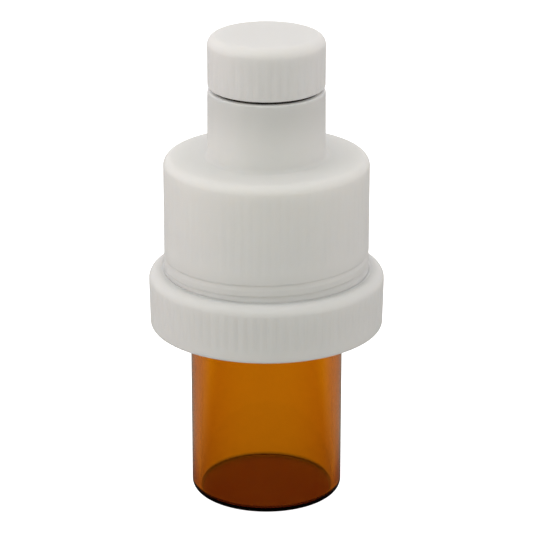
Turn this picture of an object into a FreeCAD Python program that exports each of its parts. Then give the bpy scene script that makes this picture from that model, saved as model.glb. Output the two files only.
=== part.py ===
"""Twist-grind pill crusher: an amber vial, a ribbed collar, a ribbed barrel with a neck, and a ribbed cap.

The barrel screws down in the collar, and its toothed upper burr crushes the pills on the lower burr
that the collar carries. The powder falls through slots and a screen into the vial. Pills go in through
the hopper tube in the neck, and a sprung pusher under the cap presses them down.

Millimetres, +Z up, origin at the centre of the vial's foot, on the surface that the object stands on.
"""

import FreeCAD, Part
import math
import os

import Sketcher

CAD = FreeCAD.newDocument("pill_crusher")

# Driving dimensions. A name ending in _z is a height above the table.
DIMENSIONS = {
    # amber vial
    "vial_foot_radius": 16.34,
    "vial_top_radius": 16.4,
    "vial_foot_round": 1.7,
    "vial_bore_radius": 14.6,
    "vial_floor": 0.9,
    "vial_floor_round": 0.8,
    "vial_punt_radius": 14.1,
    "vial_punt_depth": 0.25,
    "vial_shoulder_z": 39.0,
    "vial_finish_radius": 15.55,
    "vial_rim_z": 47.2,
    "vial_rim_round": 0.35,
    # screw thread between vial and collar insert
    "vial_pitch": 3.0,
    "vial_thread_z": 41.6,
    "vial_thread_rise": 4.2,
    "vial_thread_depth": 0.6,
    "vial_thread_play": 0.2,
    "vial_thread_root": 1.25,
    "vial_thread_tip": 0.65,
    # collar
    "collar_foot_z": 38.43,
    "collar_top_z": 50.95,
    "collar_foot_radius": 25.09,
    "collar_top_radius": 25.39,
    "collar_top_round": 2.1,
    "collar_foot_round": 0.8,
    "collar_web": 1.97,
    "collar_hole_radius": 16.85,
    "collar_bore_radius": 22.1,
    "collar_ribs": 78,
    "collar_rib_foot": 2.6,
    "rib_valley_radius": 0.9,
    "rib_depth": 0.2,
    # screw thread between barrel and collar
    "barrel_pitch": 2.43,
    "barrel_thread_top_z": 55.5075,
    "barrel_thread_turns_below": 5,
    "barrel_thread_runout": 0.405,
    "barrel_thread_depth": 0.45,
    "barrel_thread_upper_flank": 0.12,
    "barrel_thread_floor": 0.13,
    "barrel_thread_lower_flank": 1.0,
    "barrel_thread_play": 0.15,
    "collar_thread_rise": 5.4,
    # barrel and neck
    "barrel_foot_z": 45.5,
    "barrel_shoulder_z": 76.19,
    "barrel_foot_radius": 21.94,
    "barrel_radius": 22.0,
    "barrel_shoulder_round": 2.0,
    "barrel_bore_radius": 19.3,
    "barrel_ribs": 72,
    "barrel_rib_foot_z": 57.2,
    "barrel_rib_valley_radius": 1.2,
    "barrel_rib_depth": 0.08,
    "neck_top_z": 90.79,
    "neck_foot_radius": 12.6,
    "neck_radius": 12.5,
    "neck_foot_round": 1.0,
    "neck_top_round": 0.5,
    "moulding_wall": 2.3,
    # rubber ring between barrel and collar insert
    "seal_z": 47.2,
    "seal_mid_radius": 18.8,
    "seal_section_radius": 0.7,
    "seal_groove_depth": 0.3,
    "seal_groove_play": 0.12,
    # collar insert that carries the lower burr
    "sleeve_radius": 18.0,
    "base_flange": 1.2,
    "base_roof_z": 48.4,
    "base_roof": 2.0,
    "base_rim": 1.2,
    "gasket": 0.8,
    "gasket_inner_radius": 14.5,
    "gasket_outer_radius": 15.5,
    "screen": 0.4,
    "screen_radius": 15.9,
    "screen_hole_radius": 0.55,
    "screen_hole_step": 1.9,
    "slot_inner_radius": 7.4,
    "slot_outer_radius": 13.6,
    "slot_width": 3.2,
    "slots": 6,
    # burrs
    "burr_radius": 16.5,
    "burr_plate": 2.4,
    "burr_tooth": 1.0,
    "burr_tooth_width": 1.7,
    "burr_teeth": 24,
    "upper_burr_plate": 2.0,
    "upper_burr_tooth": 0.7,
    "feed_radius": 8.8,
    "pin_radius": 1.0,
    "pin_circle": 10.5,
    "pin_length": 3.0,
    "pin_play": 0.03,
    # feed cone, its insert, screw and washer
    "cone_foot_radius": 6.0,
    "cone_top_radius": 2.8,
    "cone_height": 7.2,
    "cone_fin": 1.2,
    "cone_fins": 4,
    "screw_radius": 1.5,
    "screw_play": 0.1,
    "screw_head_radius": 2.75,
    "screw_head": 1.6,
    "screw_socket_radius": 1.25,
    "screw_socket_depth": 1.0,
    "washer": 0.4,
    "washer_radius": 3.6,
    "insert_radius": 2.3,
    "insert_length": 4.0,
    # burr carrier, its ring and screws
    "carrier_foot_z": 60.4,
    "carrier_top_z": 63.9,
    "carrier_play": 0.1,
    "carrier_bevel": 0.3,
    "ring_groove_depth": 0.5,
    "ring": 1.0,
    "ring_play": 0.1,
    "ring_inner_radius": 17.3,
    "ring_gap": 5.0,
    "burr_screw_circle": 13.2,
    "burr_screw_radius": 1.0,
    "burr_screw_head_radius": 2.0,
    "burr_screw_head": 1.4,
    "burr_screw_grip": 1.4,
    "burr_screws": 3,
    # hopper tube and cap thread
    "tube_radius": 10.3,
    "tube_top_z": 99.9,
    "tube_flange_radius": 13.0,
    "tube_flange": 2.0,
    "tube_play": 0.05,
    "cap_pitch": 2.5,
    "cap_thread_z": 93.6,
    "cap_thread_rise": 3.6,
    "cap_thread_depth": 0.5,
    "cap_thread_play": 0.2,
    "cap_thread_root": 1.0,
    "cap_thread_tip": 0.5,
    # cap
    "cap_foot_z": 91.45,
    "cap_top_z": 102.755,
    "cap_foot_radius": 12.47,
    "cap_top_radius": 12.52,
    "cap_top_round": 2.2,
    "cap_foot_round": 0.55,
    "cap_roof": 2.205,
    "cap_ribs": 40,
    "cap_rib_foot": 0.5,
    "cap_seal": 0.62,
    "cap_seal_play": 0.02,
    "cap_seal_inner_radius": 10.9,
    "cap_seal_outer_radius": 11.4,
    "liner": 0.6,
    "liner_radius": 10.9,
    "liner_play": 0.3,
    # sprung pusher
    "guide_radius": 5.2,
    "guide_bore_radius": 4.2,
    "guide_foot_z": 86.0,
    "guide_lip": 1.2,
    "guide_hole_radius": 2.25,
    "stem_radius": 2.0,
    "stem_foot_z": 74.6,
    "stem_head_radius": 3.9,
    "stem_head": 1.3,
    "stem_head_play": 0.05,
    "disc_radius": 8.3,
    "disc": 2.0,
    "disc_edge_round": 0.5,
    "pad": 1.4,
    "pad_radius": 8.0,
    "spring_radius": 3.1,
    "spring_wire_radius": 0.35,
    "spring_turns": 6,
}


class Size:
    """A length as it is now, with the sheet expression that keeps it up to date."""

    def __init__(self, value, text):
        self.value = value
        self.text = text

    def join(self, other, sign, result):
        text = other.text if isinstance(other, Size) else repr(other)
        return Size(result, f"({self.text} {sign} {text})")

    def __add__(self, other):
        return self.join(other, "+", self.value + number(other))

    def __sub__(self, other):
        return self.join(other, "-", self.value - number(other))

    def __mul__(self, other):
        return self.join(other, "*", self.value * number(other))

    def __truediv__(self, other):
        return self.join(other, "/", self.value / number(other))

    def __neg__(self):
        return Size(-self.value, f"(0 - {self.text})")


def number(size):
    return size.value if isinstance(size, Size) else size


ZERO = Size(0.0, "0")


class Sizes:
    """The driving dimensions, kept in a spreadsheet and read by name."""

    def __init__(self, dimensions):
        self.sheet = CAD.addObject("Spreadsheet::Sheet", "Sizes")
        self.sheet.set("A1", "Driving dimensions, mm")
        for row, (name, value) in enumerate(dimensions.items(), start=2):
            self.sheet.set(f"A{row}", name)
            self.sheet.set(f"B{row}", str(value))
            self.sheet.setAlias(f"B{row}", name)
        CAD.recompute()

    def __getattr__(self, name):
        return Size(float(self.sheet.get(name)), f"Sizes.{name}")


S = Sizes(DIMENSIONS)


def bind(thing, name, size):
    """Set a property now and tie it to the sheet."""
    setattr(thing, name, number(size))
    if isinstance(size, Size):
        thing.setExpression(name, size.text)


def new_body(label):
    body = CAD.addObject("PartDesign::Body", label)
    body.Label = label
    return body


def origin_feature(body, role):
    return next(f for f in body.Origin.OriginFeatures if f.Role == role)


def new_sketch(body, name, plane, offset=ZERO):
    """A sketch on one of the body's own origin planes, moved along the plane's normal by offset."""
    sketch = body.newObject("Sketcher::SketchObject", name)
    sketch.AttachmentSupport = [(origin_feature(body, plane), "")]
    sketch.MapMode = "FlatFace"
    sketch.AttachmentOffset = FreeCAD.Placement(FreeCAD.Vector(0, 0, offset.value), FreeCAD.Rotation())
    if offset is not ZERO:
        sketch.setExpression("AttachmentOffset.Base.z", offset.text)
    return sketch


def constrain(sketch, name, kind, where, size):
    index = sketch.addConstraint(Sketcher.Constraint(kind, *where, size.value))
    sketch.renameConstraint(index, name)
    sketch.setExpression(f"Constraints.{name}", size.text)


def draw_outline(sketch, corners, prefix="corner"):
    """A closed outline of straight lines, with both coordinates of each corner tied to the sheet."""
    points = [FreeCAD.Vector(number(x), number(y), 0) for x, y in corners]
    first = sketch.GeometryCount
    count = len(points)
    for i, point in enumerate(points):
        sketch.addGeometry(Part.LineSegment(point, points[(i + 1) % count]), False)
    for i in range(count):
        sketch.addConstraint(Sketcher.Constraint("Coincident", first + i, 2, first + (i + 1) % count, 1))
    for i, (x, y) in enumerate(corners):
        if x is ZERO:
            sketch.addConstraint(Sketcher.Constraint("PointOnObject", first + i, 1, -2))
        else:
            constrain(sketch, f"{prefix}_{i}_across", "DistanceX", (-1, 1, first + i, 1), x)
        if y is ZERO:
            sketch.addConstraint(Sketcher.Constraint("PointOnObject", first + i, 1, -1))
        else:
            constrain(sketch, f"{prefix}_{i}_up", "DistanceY", (-1, 1, first + i, 1), y)


def draw_circle(sketch, name, x, y, radius):
    centre = FreeCAD.Vector(number(x), number(y), 0)
    circle = sketch.addGeometry(Part.Circle(centre, FreeCAD.Vector(0, 0, 1), radius.value), False)
    constrain(sketch, f"{name}_radius", "Radius", (circle,), radius)
    for kind, size, axis in (("DistanceX", x, -2), ("DistanceY", y, -1)):
        if size is ZERO:
            sketch.addConstraint(Sketcher.Constraint("PointOnObject", circle, 3, axis))
        else:
            constrain(sketch, f"{name}_{kind}", kind, (-1, 1, circle, 3), size)


def finish_feature(body, feature, grows=None):
    """Recompute, make the feature the tip, and see that it changed the solid the way it should."""
    body.Tip = feature
    CAD.recompute()
    before = feature.BaseFeature.Shape.Volume if feature.BaseFeature else 0.0
    after = feature.Shape.Volume
    if grows is True and after <= before or grows is False and after >= before:
        raise RuntimeError(f"{body.Label}: {feature.Label} did not change the solid as meant")
    return feature


def revolve(body, corners, name="Turned"):
    """Turn an outline of (radius, height) corners about Z."""
    sketch = new_sketch(body, f"{body.Label}_{name}_outline", "XZ_Plane")
    draw_outline(sketch, corners)
    feature = body.newObject("PartDesign::Revolution", f"{body.Label}_{name}")
    feature.Profile = sketch
    feature.ReferenceAxis = (origin_feature(body, "Z_Axis"), [""])
    feature.Angle = 360.0
    return finish_feature(body, feature)


def circle_edges(shape, rings):
    """Names of the full round edges that lie at the given (radius, height) pairs."""
    tolerance = 1e-3
    names = []
    for radius, height in rings:
        for index, edge in enumerate(shape.Edges, start=1):
            curve = edge.Curve
            if not isinstance(curve, Part.Circle):
                continue
            if abs(curve.Radius - number(radius)) > tolerance:
                continue
            if abs(curve.Center.z - number(height)) < tolerance:
                names.append(f"Edge{index}")
    if len(names) < len(rings):
        raise RuntimeError("an edge to round was not found")
    return names


def round_edges(body, radius, rings):
    base = body.Tip
    feature = body.newObject("PartDesign::Fillet", f"{body.Label}_round")
    feature.Base = (base, circle_edges(base.Shape, rings))
    bind(feature, "Radius", radius)
    return finish_feature(body, feature)


def bevel_edges(body, size, rings):
    base = body.Tip
    feature = body.newObject("PartDesign::Chamfer", f"{body.Label}_bevel")
    feature.Base = (base, circle_edges(base.Shape, rings))
    bind(feature, "Size", size)
    return finish_feature(body, feature)


def extrude(body, sketch, length, cut=False, reverse=False):
    """Pad a sketch along its plane's normal, or cut it away; reverse turns the direction round."""
    kind = "PartDesign::Pocket" if cut else "PartDesign::Pad"
    feature = body.newObject(kind, f"{sketch.Label}_{'cut' if cut else 'pad'}")
    feature.Profile = sketch
    feature.Reversed = reverse
    bind(feature, "Length", length)
    return finish_feature(body, feature, grows=not cut)


def repeat_around(body, feature, count):
    """Repeat one feature evenly around Z."""
    pattern = body.newObject("PartDesign::PolarPattern", f"{feature.Label}_ring")
    pattern.Originals = [feature]
    pattern.Axis = (origin_feature(body, "Z_Axis"), [""])
    pattern.Angle = 360.0
    pattern.Occurrences = int(count.value)
    pattern.setExpression("Occurrences", count.text)
    return finish_feature(body, pattern)


def thread(body, corners, pitch, rise, cut=False):
    """A right-hand screw thread: a ridge, or a groove if cut, whose section at +X has the given corners."""
    sketch = new_sketch(body, f"{body.Label}_thread_section", "XZ_Plane")
    draw_outline(sketch, corners)
    kind = "PartDesign::SubtractiveHelix" if cut else "PartDesign::AdditiveHelix"
    feature = body.newObject(kind, f"{body.Label}_thread")
    feature.Profile = sketch
    feature.ReferenceAxis = (origin_feature(body, "Z_Axis"), [""])
    feature.Mode = 0
    bind(feature, "Pitch", pitch)
    bind(feature, "Height", rise)
    feature.LeftHanded = False
    feature.Reversed = False
    return finish_feature(body, feature, grows=not cut)


def grip_valleys(body, count, wall_radius, depth, valley_radius, foot_z, length):
    """Upright round-bottomed valleys around a wall, which leave the grip ribs between them."""
    sketch = new_sketch(body, f"{body.Label}_grip_valley", "XY_Plane", foot_z)
    draw_circle(sketch, "valley", wall_radius - depth + valley_radius, ZERO, valley_radius)
    valley = extrude(body, sketch, length, cut=True, reverse=True)
    return repeat_around(body, valley, count)


def rectangle(inner, outer, low, high):
    return [(inner, low), (outer, low), (outer, high), (inner, high)]


# --- vial ----------------------------------------------------------------------------


def vial_thread_section(root_radius, tip_radius, middle_z):
    half_root = S.vial_thread_root / 2
    half_tip = S.vial_thread_tip / 2
    return [
        (root_radius, middle_z - half_root),
        (tip_radius, middle_z - half_tip),
        (tip_radius, middle_z + half_tip),
        (root_radius, middle_z + half_root),
    ]


def make_vial():
    body = new_body("vial")
    revolve(
        body,
        [
            (ZERO, S.vial_punt_depth),
            (S.vial_punt_radius, S.vial_punt_depth),
            (S.vial_punt_radius + S.vial_punt_depth, ZERO),
            (S.vial_foot_radius, ZERO),
            (S.vial_top_radius, S.vial_shoulder_z - S.vial_thread_depth),
            (S.vial_finish_radius, S.vial_shoulder_z),
            (S.vial_finish_radius, S.vial_rim_z),
            (S.vial_bore_radius, S.vial_rim_z),
            (S.vial_bore_radius, S.vial_floor),
            (ZERO, S.vial_floor),
        ],
    )
    round_edges(body, S.vial_foot_round, [(S.vial_foot_radius, ZERO)])
    round_edges(body, S.vial_floor_round, [(S.vial_bore_radius, S.vial_floor)])
    round_edges(
        body,
        S.vial_rim_round,
        [(S.vial_finish_radius, S.vial_rim_z), (S.vial_bore_radius, S.vial_rim_z)],
    )
    sunk = S.vial_finish_radius - S.vial_thread_play
    tip = S.vial_finish_radius + S.vial_thread_depth
    thread(body, vial_thread_section(sunk, tip, S.vial_thread_z), S.vial_pitch, S.vial_thread_rise)
    return body


def make_vial_gasket():
    body = new_body("vial_gasket")
    top = S.vial_rim_z + S.gasket
    revolve(body, rectangle(S.gasket_inner_radius, S.gasket_outer_radius, S.vial_rim_z, top))
    return body


# --- collar and what it carries ------------------------------------------------------


def barrel_thread_groove():
    """The groove's section: a steep upper flank, a narrow floor and a long lower flank."""
    edge_z = S.barrel_thread_top_z - S.barrel_pitch * S.barrel_thread_turns_below
    floor_radius = S.barrel_foot_radius - S.barrel_thread_depth
    slope = S.barrel_thread_lower_flank / S.barrel_thread_depth
    over = S.barrel_thread_play * 2
    upper_z = edge_z - S.barrel_thread_upper_flank
    lower_z = upper_z - S.barrel_thread_floor
    return [
        (floor_radius, upper_z),
        (floor_radius, lower_z),
        (S.barrel_foot_radius + over, lower_z - slope * (S.barrel_thread_depth + over)),
        (S.barrel_foot_radius + over, edge_z),
    ]


def collar_thread_ridge():
    """The ridge that runs in the barrel's groove with play on every side."""
    play = S.barrel_thread_play
    edge_z = S.barrel_thread_top_z - S.barrel_pitch * S.barrel_thread_turns_below
    slope = S.barrel_thread_lower_flank / S.barrel_thread_depth
    tip_radius = S.barrel_foot_radius - S.barrel_thread_depth + play
    root_radius = S.collar_bore_radius + play * 2
    upper_z = edge_z - S.barrel_thread_upper_flank - play / 2
    lower_z = upper_z - S.barrel_thread_floor - play / 2
    return [
        (tip_radius, upper_z),
        (root_radius, edge_z - play),
        (root_radius, lower_z - slope * (root_radius - tip_radius)),
        (tip_radius, lower_z),
    ]


def make_collar():
    body = new_body("collar")
    web_top = S.collar_foot_z + S.collar_web
    revolve(
        body,
        [
            (S.collar_hole_radius, S.collar_foot_z),
            (S.collar_foot_radius, S.collar_foot_z),
            (S.collar_top_radius, S.collar_top_z),
            (S.collar_bore_radius, S.collar_top_z),
            (S.collar_bore_radius, web_top),
            (S.collar_hole_radius, web_top),
        ],
    )
    round_edges(body, S.collar_top_round, [(S.collar_top_radius, S.collar_top_z)])
    round_edges(body, S.collar_foot_round, [(S.collar_foot_radius, S.collar_foot_z)])
    grip_valleys(
        body,
        S.collar_ribs,
        (S.collar_foot_radius + S.collar_top_radius) / 2,
        S.rib_depth,
        S.rib_valley_radius,
        S.collar_foot_z + S.collar_rib_foot,
        S.collar_top_z - S.collar_foot_z,
    )
    thread(body, collar_thread_ridge(), S.barrel_pitch, S.collar_thread_rise)
    return body


def cut_powder_slots(body, low_z, length):
    sketch = new_sketch(body, f"{body.Label}_slot", "XY_Plane", low_z)
    half = S.slot_width / 2
    draw_outline(
        sketch,
        [
            (S.slot_inner_radius, -half),
            (S.slot_outer_radius, -half),
            (S.slot_outer_radius, half),
            (S.slot_inner_radius, half),
        ],
    )
    slot = extrude(body, sketch, length, cut=True, reverse=True)
    return repeat_around(body, slot, S.slots)


def pin_angle():
    """The pins stand midway between two powder slots."""
    return math.pi / DIMENSIONS["slots"]


def cut_pin_holes(body, low_z, length):
    sketch = new_sketch(body, f"{body.Label}_pin_hole", "XY_Plane", low_z)
    x = S.pin_circle * math.cos(pin_angle())
    y = S.pin_circle * math.sin(pin_angle())
    draw_circle(sketch, "hole", x, y, S.pin_radius + S.pin_play)
    hole = extrude(body, sketch, length, cut=True, reverse=True)
    return repeat_around(body, hole, S.slots / 2)


def base_top():
    return S.base_roof_z + S.base_roof


def make_grinder_base():
    """Sleeve with the vial's female thread, a flange on the collar's web, and a slotted roof."""
    body = new_body("grinder_base")
    flange_z = S.collar_foot_z + S.collar_web
    flange_radius = S.collar_bore_radius - S.barrel_thread_play * 2
    bore = S.vial_finish_radius + S.vial_thread_depth + S.vial_thread_play
    hole = S.screw_radius + S.screw_play
    revolve(
        body,
        [
            (bore, flange_z),
            (flange_radius, flange_z),
            (flange_radius, flange_z + S.base_flange),
            (S.sleeve_radius, flange_z + S.base_flange),
            (S.sleeve_radius, base_top() + S.base_rim),
            (S.burr_radius + S.carrier_play, base_top() + S.base_rim),
            (S.burr_radius + S.carrier_play, base_top()),
            (hole, base_top()),
            (hole, S.base_roof_z),
            (bore, S.base_roof_z),
        ],
    )
    cut_powder_slots(body, S.base_roof_z, S.base_roof)
    cut_pin_holes(body, base_top() - S.pin_length / 2, S.pin_length / 2)
    tip = bore - S.vial_thread_depth
    middle_z = S.vial_thread_z + S.vial_pitch / 2
    section = vial_thread_section(bore + S.vial_thread_play, tip, middle_z)
    thread(body, section, S.vial_pitch, S.vial_thread_rise - S.vial_pitch / 2)
    return body


def make_sieve_screen():
    """A thin steel disc with rings of round holes, clamped by the centre screw."""
    body = new_body("sieve_screen")
    sketch = new_sketch(body, "sieve_screen_outline", "XY_Plane", S.base_roof_z - S.screen)
    draw_circle(sketch, "rim", ZERO, ZERO, S.screen_radius)
    draw_circle(sketch, "screw_hole", ZERO, ZERO, S.screw_radius + S.screw_play)
    first_ring = S.slot_inner_radius.value + S.screen_hole_radius.value
    step = S.screen_hole_step.value
    rings = int((S.slot_outer_radius.value - first_ring) / step) + 1
    for ring in range(rings):
        radius = first_ring + ring * step
        holes = int(2 * math.pi * radius / step)
        for hole in range(holes):
            angle = 2 * math.pi * hole / holes
            centre = FreeCAD.Vector(radius * math.cos(angle), radius * math.sin(angle), 0)
            round_hole = Part.Circle(centre, FreeCAD.Vector(0, 0, 1), S.screen_hole_radius.value)
            sketch.addGeometry(round_hole, False)
    extrude(body, sketch, S.screen)
    return body


def add_teeth(body, plate_z, height, inner_radius, reverse):
    """Radial saw teeth on a burr's face, which point up, or down if reverse."""
    sketch = new_sketch(body, f"{body.Label}_tooth", "YZ_Plane", inner_radius)
    half = S.burr_tooth_width / 2
    tip_z = plate_z - height if reverse else plate_z + height
    sunk_z = plate_z + height / 2 if reverse else plate_z - height / 2
    draw_outline(
        sketch,
        [(-half, sunk_z), (half, sunk_z), (half, plate_z), (half / 2, tip_z), (-half, plate_z)],
    )
    tooth = extrude(body, sketch, S.burr_radius - S.carrier_play * 2 - inner_radius)
    return repeat_around(body, tooth, S.burr_teeth)


def make_lower_burr():
    body = new_body("lower_burr")
    plate_top = base_top() + S.burr_plate
    hole = S.screw_radius + S.screw_play
    revolve(body, rectangle(hole, S.burr_radius, base_top(), plate_top))
    add_teeth(body, plate_top, S.burr_tooth, S.feed_radius - S.burr_tooth, reverse=False)
    cut_powder_slots(body, base_top(), S.burr_plate + S.burr_tooth)
    cut_pin_holes(body, base_top(), S.pin_length / 2)
    return body


def make_burr_pins():
    """Three steel pins, half in the base and half in the lower burr."""
    body = new_body("burr_pins")
    sketch = new_sketch(body, "burr_pins_section", "XY_Plane", base_top() - S.pin_length / 2)
    for turn in range(DIMENSIONS["slots"] // 2):
        angle = pin_angle() + turn * 4 * math.pi / DIMENSIONS["slots"]
        x = S.pin_circle * math.cos(angle)
        y = S.pin_circle * math.sin(angle)
        draw_circle(sketch, f"pin_{turn}", x, y, S.pin_radius)
    extrude(body, sketch, S.pin_length)
    return body


def make_feed_cone():
    """Cone with upright fins that breaks the pills and spreads them to the burrs."""
    body = new_body("feed_cone")
    foot_z = base_top() + S.burr_plate
    top_z = foot_z + S.cone_height
    hole_top = foot_z + S.insert_length + S.screw_play
    revolve(
        body,
        [
            (S.insert_radius, foot_z),
            (S.cone_foot_radius, foot_z),
            (S.cone_top_radius, top_z),
            (ZERO, top_z),
            (ZERO, hole_top),
            (S.insert_radius, hole_top),
        ],
    )
    round_edges(body, S.cone_fin / 2, [(S.cone_top_radius, top_z)])
    sketch = new_sketch(body, "feed_cone_fin", "XZ_Plane", -(S.cone_fin / 2))
    draw_outline(
        sketch,
        [
            (S.insert_radius + S.screw_play, foot_z),
            (S.cone_foot_radius + S.cone_fin, foot_z),
            (S.cone_top_radius + S.cone_fin, top_z - S.cone_fin),
            (S.cone_top_radius, top_z - S.cone_fin),
        ],
    )
    fin = extrude(body, sketch, S.cone_fin)
    repeat_around(body, fin, S.cone_fins)
    return body


def make_cone_insert():
    body = new_body("cone_insert")
    foot_z = base_top() + S.burr_plate
    revolve(
        body,
        rectangle(S.screw_radius + S.pin_play, S.insert_radius, foot_z, foot_z + S.insert_length),
    )
    return body


def make_centre_screw():
    """Pan-head screw with a hexagon socket, up through washer, screen, base and burr into the insert."""
    body = new_body("centre_screw")
    head_top = S.base_roof_z - S.screen - S.washer
    head_foot = head_top - S.screw_head
    tip_z = base_top() + S.burr_plate + S.insert_length - S.screw_play
    revolve(
        body,
        [
            (ZERO, head_foot),
            (S.screw_head_radius, head_foot),
            (S.screw_head_radius, head_top),
            (S.screw_radius, head_top),
            (S.screw_radius, tip_z),
            (ZERO, tip_z),
        ],
    )
    round_edges(body, S.washer, [(S.screw_head_radius, head_foot)])
    sketch = new_sketch(body, "centre_screw_socket", "XY_Plane", head_foot)
    corners = []
    for side in range(6):
        angle = math.radians(60 * side + 30)
        corners.append((S.screw_socket_radius * math.cos(angle), S.screw_socket_radius * math.sin(angle)))
    draw_outline(sketch, corners)
    extrude(body, sketch, S.screw_socket_depth, cut=True, reverse=True)
    return body


def make_screw_washer():
    body = new_body("screw_washer")
    top = S.base_roof_z - S.screen
    revolve(body, rectangle(S.screw_radius + S.screw_play, S.washer_radius, top - S.washer, top))
    return body


# --- barrel and what it carries ------------------------------------------------------


def make_barrel_seal():
    ring = CAD.addObject("Part::Torus", "barrel_seal")
    ring.Label = "barrel_seal"
    bind(ring, "Radius1", S.seal_mid_radius)
    bind(ring, "Radius2", S.seal_section_radius)
    ring.Placement = FreeCAD.Placement(FreeCAD.Vector(0, 0, S.seal_z.value), FreeCAD.Rotation())
    ring.setExpression("Placement.Base.z", S.seal_z.text)
    return ring


def make_barrel():
    """Ribbed drum with a neck, thin-walled, with grooves for a seal and a ring and a step for the carrier."""
    body = new_body("barrel")
    groove_half = S.seal_section_radius + S.seal_groove_play
    groove_radius = S.barrel_bore_radius + S.seal_groove_depth
    ring_radius = S.barrel_bore_radius + S.ring_groove_depth
    ring_foot = S.carrier_foot_z - S.ring - S.ring_play * 2
    chamber_radius = S.barrel_bore_radius - S.ring_groove_depth
    ceiling_z = S.barrel_shoulder_z - S.moulding_wall
    neck_bore = S.tube_radius + S.tube_play
    revolve(
        body,
        [
            (S.barrel_bore_radius, S.barrel_foot_z),
            (S.barrel_foot_radius, S.barrel_foot_z),
            (S.barrel_radius, S.barrel_shoulder_z),
            (S.neck_foot_radius, S.barrel_shoulder_z),
            (S.neck_radius, S.neck_top_z),
            (neck_bore, S.neck_top_z),
            (neck_bore, ceiling_z),
            (chamber_radius, ceiling_z),
            (chamber_radius, S.carrier_top_z),
            (S.barrel_bore_radius, S.carrier_top_z),
            (S.barrel_bore_radius, S.carrier_foot_z),
            (ring_radius, S.carrier_foot_z),
            (ring_radius, ring_foot),
            (S.barrel_bore_radius, ring_foot),
            (S.barrel_bore_radius, S.seal_z + groove_half),
            (groove_radius, S.seal_z + groove_half),
            (groove_radius, S.seal_z - groove_half),
            (S.barrel_bore_radius, S.seal_z - groove_half),
        ],
    )
    round_edges(body, S.barrel_shoulder_round, [(S.barrel_radius, S.barrel_shoulder_z)])
    round_edges(body, S.neck_foot_round, [(S.neck_foot_radius, S.barrel_shoulder_z)])
    round_edges(body, S.neck_top_round, [(S.neck_radius, S.neck_top_z)])
    bevel_edges(body, S.seal_groove_depth, [(S.barrel_foot_radius, S.barrel_foot_z)])
    grip_valleys(
        body,
        S.barrel_ribs,
        S.barrel_radius,
        S.barrel_rib_depth,
        S.barrel_rib_valley_radius,
        S.barrel_rib_foot_z,
        S.barrel_shoulder_z - S.barrel_rib_foot_z,
    )
    rise = S.barrel_pitch * S.barrel_thread_turns_below + S.barrel_thread_runout
    thread(body, barrel_thread_groove(), S.barrel_pitch, rise, cut=True)
    return body


def cut_burr_screw_holes(body, radius, low_z, length):
    sketch = new_sketch(body, f"{body.Label}_screw_hole", "XY_Plane", low_z)
    draw_circle(sketch, "hole", S.burr_screw_circle, ZERO, radius)
    hole = extrude(body, sketch, length, cut=True, reverse=True)
    return repeat_around(body, hole, S.burr_screws)


def make_burr_carrier():
    body = new_body("burr_carrier")
    outer = S.barrel_bore_radius - S.carrier_play
    revolve(body, rectangle(S.feed_radius, outer, S.carrier_foot_z, S.carrier_top_z))
    bevel_edges(body, S.carrier_bevel, [(outer, S.carrier_top_z)])
    shank_hole = S.burr_screw_radius + S.screw_play
    head_hole = S.burr_screw_head_radius + S.screw_play
    cut_burr_screw_holes(body, shank_hole, S.carrier_foot_z, S.carrier_top_z - S.carrier_foot_z)
    body.Tip.Label = "burr_carrier_shank_holes"
    cut_burr_screw_holes(body, head_hole, S.carrier_top_z - S.burr_screw_head, S.burr_screw_head)
    return body


def make_carrier_snap_ring():
    """Steel ring, open on one side so that it springs into the barrel's groove."""
    body = new_body("carrier_snap_ring")
    foot_z = S.carrier_foot_z - S.ring - S.ring_play
    outer = S.barrel_bore_radius + S.ring_groove_depth - S.ring_play
    revolve(body, rectangle(S.ring_inner_radius, outer, foot_z, foot_z + S.ring))
    sketch = new_sketch(body, "carrier_snap_ring_gap", "XY_Plane", foot_z)
    half = S.ring_gap / 2
    far = outer + S.ring
    draw_outline(sketch, [(S.burr_radius, -half), (far, -half), (far, half), (S.burr_radius, half)])
    extrude(body, sketch, S.ring, cut=True, reverse=True)
    return body


def make_upper_burr():
    body = new_body("upper_burr")
    plate_foot = S.carrier_foot_z - S.upper_burr_plate
    revolve(body, rectangle(S.feed_radius, S.burr_radius, plate_foot, S.carrier_foot_z))
    add_teeth(body, plate_foot, S.upper_burr_tooth, S.feed_radius + S.upper_burr_tooth, reverse=True)
    hole = S.burr_screw_radius + S.pin_play
    depth = S.burr_screw_grip + S.screw_play
    cut_burr_screw_holes(body, hole, S.carrier_foot_z - depth, depth)
    return body


def make_upper_burr_screws():
    """Three small screws, down through the carrier into the burr."""
    body = new_body("upper_burr_screws")
    shank_foot = S.carrier_foot_z - S.burr_screw_grip
    head_foot = S.carrier_top_z - S.burr_screw_head
    for name, radius, low_z, length in (
        ("shanks", S.burr_screw_radius, shank_foot, head_foot - shank_foot),
        ("heads", S.burr_screw_head_radius, head_foot, S.burr_screw_head - S.screw_play),
    ):
        sketch = new_sketch(body, f"upper_burr_screw_{name}", "XY_Plane", low_z)
        for turn in range(DIMENSIONS["burr_screws"]):
            angle = 2 * math.pi * turn / DIMENSIONS["burr_screws"]
            x = S.burr_screw_circle * math.cos(angle)
            y = S.burr_screw_circle * math.sin(angle) if turn else ZERO
            draw_circle(sketch, f"screw_{turn}", x, y, radius)
        extrude(body, sketch, length)
    return body


def cap_thread_section(root_radius, tip_radius, middle_z):
    half_root = S.cap_thread_root / 2
    half_tip = S.cap_thread_tip / 2
    return [
        (root_radius, middle_z - half_root),
        (tip_radius, middle_z - half_tip),
        (tip_radius, middle_z + half_tip),
        (root_radius, middle_z + half_root),
    ]


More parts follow.
